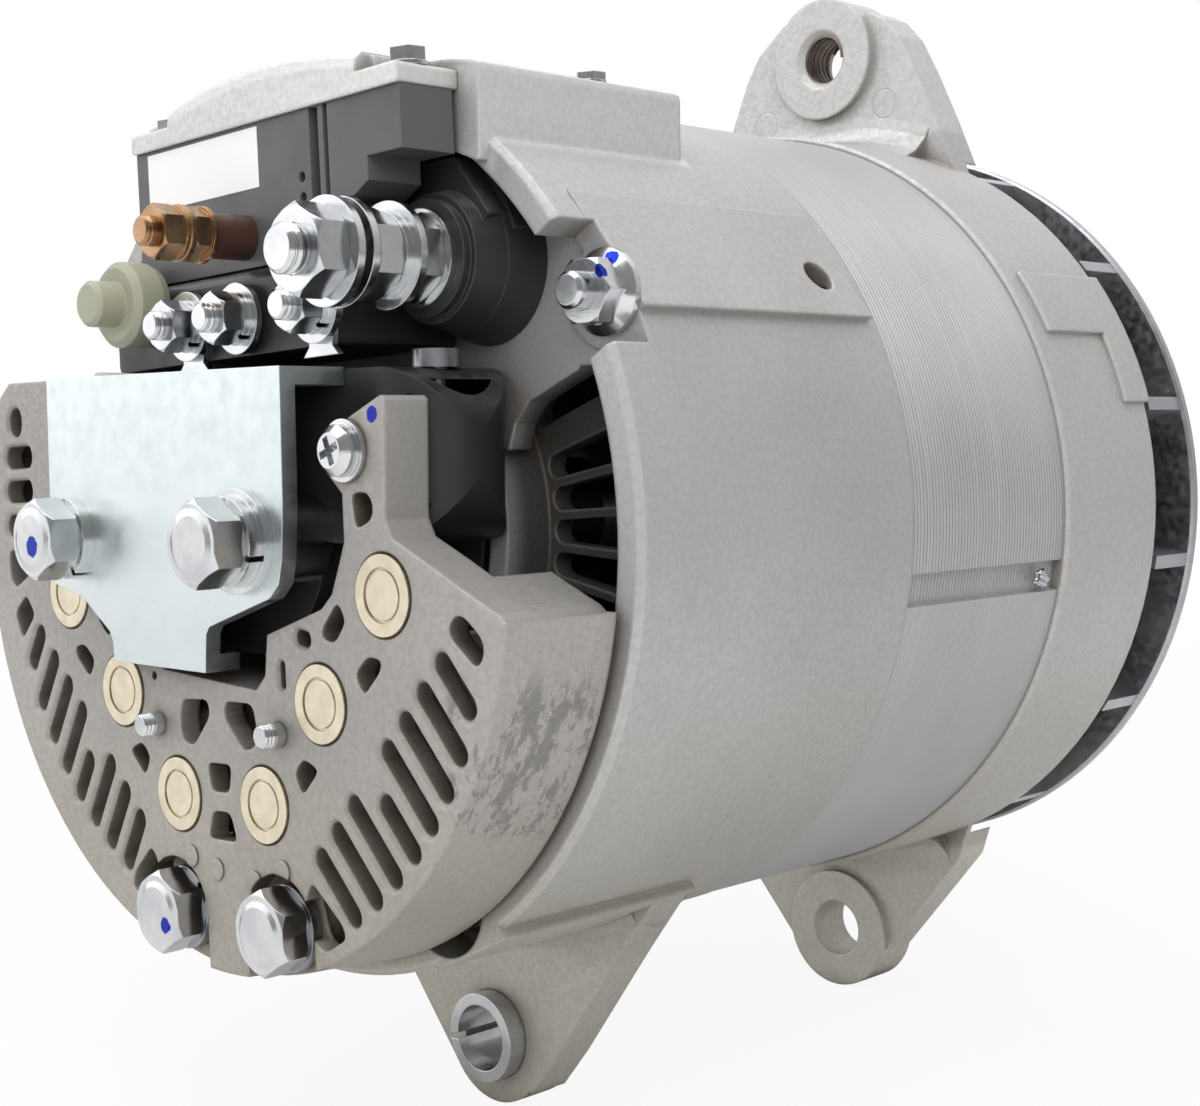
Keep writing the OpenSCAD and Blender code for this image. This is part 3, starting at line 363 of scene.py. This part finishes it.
def metalFinish(name, light, dark, roughness, mottle=60, scratch=0.006, dots=()):
    s = metalSet
    finish, tree, shader = newFinish(name, Metallic=1.0)
    place = position(tree)
    shade = blendColour(tree, clouded(tree, place, mottle, 4, 0.6), colour(dark), colour(light))
    feed(tree, paintDots(tree, shade, dots), shader.inputs["Base Color"])
    levels = (roughness * share for share in s["duller"])
    dull = spread(tree, noise(tree, place, mottle * s["finer"]), *s["dullRange"], *levels)
    feed(tree, dull, shader.inputs["Roughness"])
    fine = noise(tree, position(tree, s["stretch"]), s["scratches"], 3, 0.7)
    feed(tree, relief(tree, fine, scratch, roundedEdges(tree, s["edge"])), shader.inputs["Normal"])
    return finish


# moulded plastic: faint orange peel, dust on the upper faces and slightly paler edges
mouldedSet = {"specular": 0.45, "edgeShare": 0.5, "duller": (0.8, 1.3), "dullRange": (0.25, 0.75),
              "dullScale": 120, "peel": 1100, "peelDepth": 0.02, "dustShade": (0.3, 0.29, 0.28),
              "dustScale": 240, "dustRange": (0.35, 0.75), "upRange": (0.2, 0.95)}


def mouldedFinish(name, base, pale, roughness, edge=0.35, dust=0.18):
    s = mouldedSet
    finish, tree, shader = newFinish(name, Specular_IOR_Level=s["specular"])
    place = position(tree)
    rounded = roundedEdges(tree, edge)
    worn = times(tree, edgeWear(tree, rounded), s["edgeShare"])
    shade = blendColour(tree, worn, colour(base), colour(pale))
    up = axesOf(tree, add(tree, "NewGeometry").outputs["Normal"])["Z"]
    patches = spread(tree, noise(tree, place, s["dustScale"], 4, 0.7), *s["dustRange"])
    settled = times(tree, spread(tree, up, *s["upRange"]), patches, dust)
    feed(tree, blendColour(tree, settled, shade, colour(s["dustShade"])), shader.inputs["Base Color"])
    levels = (roughness * share for share in s["duller"])
    dull = spread(tree, noise(tree, place, s["dullScale"]), *s["dullRange"], *levels)
    feed(tree, dull, shader.inputs["Roughness"])
    peel = noise(tree, place, s["peel"], 2)
    feed(tree, relief(tree, peel, s["peelDepth"], rounded), shader.inputs["Normal"])
    return finish


# wound copper under brown enamel: strands beside each other round the shaft
windingSet = {"light": (0.5, 0.2, 0.08), "dark": (0.16, 0.055, 0.02), "roughness": 0.32, "coat": 0.4,
              "metallic": 0.6, "strands": 150, "stray": 6, "fineness": 0.6, "depth": 0.4}


def windingFinish(s):
    finish, tree, shader = newFinish("windings", Roughness=s["roughness"], Coat_Weight=s["coat"],
                                     Metallic=s["metallic"])
    waves = {"Vector": position(tree), "Scale": s["strands"], "Distortion": s["stray"], "Detail": 1,
             "Detail Scale": s["fineness"]}
    strands = add(tree, "TexWave", waves, bands_direction="DIAGONAL").outputs["Fac"]
    feed(tree, blendColour(tree, strands, colour(s["dark"]), colour(s["light"])), shader.inputs["Base Color"])
    feed(tree, relief(tree, strands, s["depth"]), shader.inputs["Normal"])
    return finish


# where paint dots sit, as a point and a radius in mm
dotPlaces = {
    "housing": [((66.4, -170, 39.6), 1.5)],
    "cover": [((45.1, -196.3, 20), 1.3)],
    "zinc": [((-36.6, -209, -2.4), 1.9), ((-9.2, -201, -68.3), 1.4), ((69.2, -170.2, 41.6), 1.2),
             ((67.6, -166, 43.4), 1.5), ((45.9, -199.4, 12.6), 1.2), ((8.2, -200, 40), 1.2)],
}

# pads, ear and feet lightened as painted light: two corners of a box in mm and how strongly it shows
paintedLightBoxes = {
    "housing": [((-49, -176, 58), (49, -126, 75.8), 0.65), ((-60, -135, -118), (60, -120, -82), 0.15)],
    "frontHousing": [((-40, -27, 82), (40, -12, 118), 0.5), ((-40, -27, -118), (40, -8, -78), 0.5)],
}
earRings = [((16.5, -24, 89.6), 3.2), ((-17.5, -24, 88.6), 3.2)]
innerWalls = (75.2, -164, -158)  # radius, and the depths between which the oil and painted shade set in

finishes = {
    "housing": castFinish("housing", (0.48, 0.475, 0.47), (0.41, 0.405, 0.395), dots=dotPlaces["housing"],
                          paintedLightAreas=paintedLightBoxes["housing"], inside=innerWalls),
    "frontHousing": castFinish("frontHousing", (0.51, 0.505, 0.5), (0.45, 0.445, 0.435), rings=earRings,
                               paintedLightAreas=paintedLightBoxes["frontHousing"]),
    # the cover's corners and slots get a stronger painted shade, with some dirt
    "cover": castFinish("cover", (0.41, 0.395, 0.375), (0.34, 0.325, 0.31), dots=dotPlaces["cover"],
                        stains=coverStains, cornerDirtAndShadeShare=0.95, hollow=(0.9, 0.45)),
    "capCast": castFinish("capCast", (0.65, 0.65, 0.645), (0.58, 0.58, 0.575), grit=0.5),
    "laminations": laminationFinish(laminationSet),
    "windings": windingFinish(windingSet),
    "zinc": metalFinish("zinc", (0.68, 0.7, 0.695), (0.54, 0.545, 0.57), 0.18, mottle=110,
                        dots=dotPlaces["zinc"]),
    "bracketZinc": metalFinish("bracketZinc", (0.67, 0.725, 0.73), (0.63, 0.69, 0.7), 0.34, mottle=75),
    "springSteel": metalFinish("springSteel", (0.42, 0.43, 0.45), (0.3, 0.31, 0.33), 0.3),
    "champagne": metalFinish("champagne", (0.78, 0.71, 0.56), (0.66, 0.59, 0.45), 0.42, mottle=300,
                             scratch=0.03),
    "brass": metalFinish("brass", (0.46, 0.29, 0.16), (0.26, 0.13, 0.07), 0.26, mottle=90),
    "bearingSteel": metalFinish("bearingSteel", (0.62, 0.63, 0.66), (0.52, 0.53, 0.56), 0.2),
    "poleSteel": metalFinish("poleSteel", (0.2, 0.2, 0.21), (0.13, 0.13, 0.14), 0.5),
    "fanSteel": metalFinish("fanSteel", (0.5, 0.51, 0.53), (0.46, 0.47, 0.49), 0.42, mottle=160),
    "threadSteel": metalFinish("threadSteel", (0.3, 0.26, 0.23), (0.16, 0.12, 0.1), 0.35, mottle=200),
    "label": mouldedFinish("label", (0.78, 0.78, 0.77), (0.8, 0.8, 0.79), 0.5, edge=0.05, dust=0.02),
    "black": mouldedFinish("black", (0.02, 0.02, 0.0215), (0.07, 0.07, 0.073), 0.36),
    # a paler black for the regulator body: painted sheen
    "paintedSheenBlack": mouldedFinish("paintedSheenBlack", (0.075, 0.075, 0.08), (0.12, 0.12, 0.125), 0.42),
    "brown": mouldedFinish("brown", (0.05, 0.022, 0.014), (0.12, 0.06, 0.04), 0.4),
    "carbon": mouldedFinish("carbon", (0.03, 0.03, 0.032), (0.07, 0.07, 0.075), 0.5),
    "cream": mouldedFinish("cream", (0.29, 0.29, 0.215), (0.52, 0.52, 0.43), 0.4, dust=0.05),
}
print("stage: finishes made,", len(finishes))

# which finish each node wears
wears = {
    "housing": ["rear_housing"],
    "frontHousing": ["front_housing"],
    "cover": ["heat_sink_cover", "positive_plate"],
    "capCast": ["regulator_cap"],
    "laminations": ["stator_core"],
    "windings": ["stator_windings", "field_coil", "slip_rings"],
    "zinc": ["tie_studs", "tie_nuts", "plate_screws", "plate_nuts", "cover_bolts", "cover_screw",
             "ground_standoffs", "ground_bolts", "ground_washers", "battery_stud", "battery_nuts",
             "battery_washers", "terminal_studs", "terminal_nuts", "terminal_washers", "terminal_straps",
             "retainer_screws", "foot_bushing", "regulator_screws"],
    "bracketZinc": ["ground_bracket"],
    "springSteel": ["cover_lock_washers", "spring_inner", "spring_outer", "bearing_retainer",
                    "brush_cover_screw"],
    "champagne": ["negative_diodes", "positive_diodes"],
    "brass": ["regulator_terminal", "regulator_nuts"],
    "bearingSteel": ["front_bearing_outer", "front_bearing_inner", "front_bearing_balls",
                     "rear_bearing_outer", "rear_bearing_inner", "rear_bearing_balls", "shaft", "fan_spacer"],
    "poleSteel": ["rear_pole", "front_pole"],
    "fanSteel": ["fan"],
    "black": ["brush_cover", "terminal_block", "slip_sleeve"],
    "paintedSheenBlack": ["regulator_body"],
    "brown": ["brush_holder", "terminal_sleeve"],
    "carbon": ["brush_inner", "brush_outer"],
    "cream": ["terminal_cap"],
}
for name, worn in wears.items():
    for each in worn:
        nodes[each].material_slots[0].material = finishes[name]
bare = sorted(set(nodes) - {each for worn in wears.values() for each in worn})
print("stage: nodes dressed, left bare:", bare)


# a wire wound round a line, in mm and degrees: the thread in the ear's bore, and the two brush springs
threadSet = {"radius": 5.42, "wire": 0.62, "turns": 6.4, "length": 9.6, "tilt": -90, "steps": 36, "sides": 4}
springSet = {"radius": 1.7, "wire": 0.3, "turns": 4.2, "length": 4.9, "tilt": 0, "steps": 28, "sides": 10}
threadPlace = (0, -24.6, 101.6)
springPlaces = {"inner": (0, -171.75, 19.5), "outer": (0, -180.25, 19.5)}
helixInputs = {"Radius": "Float", "Length": "Float", "Turns": "Float", "Wire": "Float", "Finish": "Material"}


def helixTree(s):
    tree = bpy.data.node_groups.new("helix", "GeometryNodeTree")
    tree.interface.new_socket("Geometry", in_out="OUTPUT", socket_type="NodeSocketGeometry")
    sockets = {}
    for name, kind in helixInputs.items():
        made = tree.interface.new_socket(name, in_out="INPUT", socket_type="NodeSocket" + kind)
        sockets[name] = made.identifier
    given = newNode(tree, "NodeGroupInput").outputs
    spiral = newNode(tree, "GeometryNodeCurveSpiral",
                     {"Resolution": s["steps"], "Rotations": given["Turns"], "Start Radius": given["Radius"],
                      "End Radius": given["Radius"], "Height": given["Length"]})
    profile = newNode(tree, "GeometryNodeCurvePrimitiveCircle",
                      {"Resolution": s["sides"], "Radius": given["Wire"]})
    swept = newNode(tree, "GeometryNodeCurveToMesh",
                    {"Curve": spiral.outputs[0], "Profile Curve": profile.outputs[0], "Fill Caps": True})
    solid = newNode(tree, "GeometryNodeRealizeInstances", {0: swept.outputs[0]})
    dressed = newNode(tree, "GeometryNodeSetMaterial",
                      {"Geometry": solid.outputs[0], "Material": given["Finish"]})
    newNode(tree, "NodeGroupOutput", {0: dressed.outputs[0]})
    return tree, sockets


def makeHelix(name, s, base, finish):
    tree, sockets = helixTree(s)
    maker = newObject(name + "Maker", bpy.data.meshes.new(name + "Maker"))
    grown = maker.modifiers.new("grow", "NODES")
    grown.node_group = tree
    wanted = {"Radius": s["radius"] * mm, "Length": s["length"] * mm, "Turns": s["turns"],
              "Wire": s["wire"] * mm, "Finish": finish}
    for key, value in wanted.items():
        grown[sockets[key]] = value
    bpy.context.view_layer.update()
    mesh = bpy.data.meshes.new_from_object(maker.evaluated_get(bpy.context.evaluated_depsgraph_get()))
    bpy.data.objects.remove(maker)  # the modifier goes with it, and a plain mesh is left
    mesh.transform(Matrix.Translation(Vector(base) * mm) @ Matrix.Rotation(math.radians(s["tilt"]), 4, "X"))
    return newObject(name, mesh)


def fromWork(name, work, finish):
    mesh = bpy.data.meshes.new(name)
    work.to_mesh(mesh)
    work.free()
    mesh.materials.append(finish)
    return newObject(name, mesh)


# white label on the regulator's rear face, in that face's tilted frame, in mm and degrees
labelSet = {"low": (-26.1, 59.0), "high": (7.5, 69.3), "back": -187.3, "thick": 0.12, "sunk": 0.02,
            "tilt": 2.5}


def makeLabel(s, finish):
    (left, foot), (right, top) = s["low"], s["high"]
    middle = Vector(((left + right) / 2, s["back"] - s["thick"] / 2 + s["sunk"], (foot + top) / 2))
    size = Matrix.Diagonal((right - left, s["thick"], top - foot, 1))
    turn = Matrix.Rotation(math.radians(-s["tilt"]), 4, "Y")
    work = bmesh.new()
    bmesh.ops.create_cube(work, size=1)
    place = Matrix.Scale(mm, 4) @ turn @ Matrix.Translation(middle) @ size
    bmesh.ops.transform(work, matrix=place, verts=work.verts)
    return fromWork("label", work, finish)


# a bright bead of weld at the front end of the stator's groove, in mm; each ripple is height, pitch and phase
beadSet = {"centre": (79.3, -60.3, -12.4), "size": (0.9, 1.9, 1.6), "fineness": 3,
           "ripples": [(0.18, (5, 0, 0), 4), (0.22, (0, 3, 7), 0), (0.12, (0, 9, -4), math.pi / 2)]}


def makeBead(s, finish):
    work = bmesh.new()
    bmesh.ops.create_icosphere(work, subdivisions=s["fineness"], radius=1)
    for point in work.verts:
        lump = sum(height * math.sin(Vector(pitch).dot(point.co) + phase)
                   for height, pitch, phase in s["ripples"])
        sized = Vector([along * size * (1 + lump) for along, size in zip(point.co, s["size"])])
        point.co = (sized + Vector(s["centre"])) * mm
    made = fromWork("weldBead", work, finish)
    for face in made.data.polygons:
        face.use_smooth = True
    return made


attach(makeHelix("earThread", threadSet, threadPlace, finishes["threadSteel"]), "frame")
for name, base in springPlaces.items():
    spring = makeHelix(name + "Spring", springSet, base, finishes["springSteel"])
    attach(spring, "frame")
    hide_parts("spring_" + name)
    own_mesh(spring)
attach(makeLabel(labelSet, finishes["label"]), "frame")
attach(makeBead(beadSet, finishes["zinc"]), "frame")
print("stage: thread, springs, label and weld bead made")


# studio: white floor and backdrop, even soft light from above and both sides; the drop is in mm and the other
# sizes in metres, and a reach is how far a direction points away from the camera, to the right or up
studioSet = {"floorDrop": 0.2, "floorSide": 16.0, "floorGrey": 0.8, "floorLift": 0.9, "fadeFrom": 0.25,
             "fadeTo": 0.9, "fill": 0.38, "infront": 0.3, "behind": 0.95, "viewReach": (-0.7, 0.25),
             "rightWay": (0.705, 0.706, 0), "rightReach": (0.3, 0.9), "rightShade": 0.68,
             "lowReach": (-0.05, -0.5), "lowShade": 0.6, "highReach": (0.15, 0.7), "highGlow": 1.25}


# what a polished face mirrors: bright on the left and behind, darker past the camera, to the right and below
def makeWorld(s):
    world = bpy.data.worlds.new("studio")
    bpy.context.scene.world = world
    tree = emptyTree(world)
    way = add(tree, "TexCoord").outputs["Generated"]
    facing = vectorMaths(tree, "DOT_PRODUCT", way, -viewBack)
    right = vectorMaths(tree, "DOT_PRODUCT", way, s["rightWay"])
    height = axesOf(tree, way)["Z"]
    shine = times(tree, spread(tree, facing, *s["viewReach"], s["infront"], s["behind"]),
                  spread(tree, right, *s["rightReach"], 1, s["rightShade"]),
                  spread(tree, height, *s["lowReach"], 1, s["lowShade"]),
                  spread(tree, height, *s["highReach"], 1, s["highGlow"]))
    ray = add(tree, "LightPath").outputs
    mirrored = maths(tree, "MAXIMUM", ray["Is Glossy Ray"], ray["Is Transmission Ray"])
    other = maths(tree, "SUBTRACT", 1, mirrored)
    seen = maths(tree, "ADD", times(tree, mirrored, shine), times(tree, other, s["fill"]))
    strength = maths(tree, "MAXIMUM", ray["Is Camera Ray"], seen)
    back = add(tree, "Background", {"Color": colour((1, 1, 1)), "Strength": strength})
    add(tree, "OutputWorld", {0: back.outputs[0]})


# the floor fades to white away from the object, and lets the camera through from below
def makeFloor(s):
    finish = bpy.data.materials.new("floorWhite")
    tree = emptyTree(finish)
    matt = add(tree, "BsdfDiffuse", {"Color": colour([s["floorGrey"]] * 3)})
    glow = add(tree, "Emission", {"Color": colour((1, 1, 1)), "Strength": 1.0})
    clear = add(tree, "BsdfTransparent")
    ray = add(tree, "LightPath").outputs["Is Camera Ray"]
    away = vectorMaths(tree, "LENGTH", position(tree))
    lift = times(tree, ray, spread(tree, away, s["fadeFrom"], s["fadeTo"], s["floorLift"], 1))
    lit = add(tree, "MixShader", {0: lift, 1: matt.outputs[0], 2: glow.outputs[0]})
    under = times(tree, ray, add(tree, "NewGeometry").outputs["Backfacing"])
    mixed = add(tree, "MixShader", {0: under, 1: lit.outputs[0], 2: clear.outputs[0]})
    add(tree, "OutputMaterial", {0: mixed.outputs[0]})
    half, z = s["floorSide"] / 2, cadLow.z - s["floorDrop"] * mm
    corners = [(-half, -half, z), (half, -half, z), (half, half, z), (-half, half, z)]
    mesh = bpy.data.meshes.new("floor")
    mesh.from_pydata(corners, [], [(0, 1, 2, 3)])
    mesh.materials.append(finish)
    newObject("floor", mesh)


# softboxes: where each stands, how large it is, how strong, all in metres and watts
lamps = {
    "above": {"place": (-0.1, -0.25, 1.0), "size": (1.1, 1.1), "power": 7.4, "mirrored": True},
    "left": {"place": (-0.95, -0.85, 0.35), "size": (1.3, 1.5), "power": 4.6, "mirrored": True},
    "right": {"place": (0.8, -0.75, 0.65), "size": (0.8, 1.1), "power": 13.0, "mirrored": False},
}
lampAim = (0, -0.1, 0)


def makeLamp(name, s):
    data = bpy.data.lights.new(name, "AREA")
    data.shape = "RECTANGLE"
    data.size, data.size_y = s["size"]
    data.energy = s["power"]
    lamp = newObject(name, data)
    lamp.location = s["place"]
    lamp.rotation_euler = (Vector(lampAim) - lamp.location).to_track_quat("-Z", "Y").to_euler()
    lamp.visible_camera = False
    lamp.visible_glossy = s["mirrored"]


makeWorld(studioSet)
makeFloor(studioSet)
for name, values in lamps.items():
    makeLamp(name, values)
print("stage: studio made")
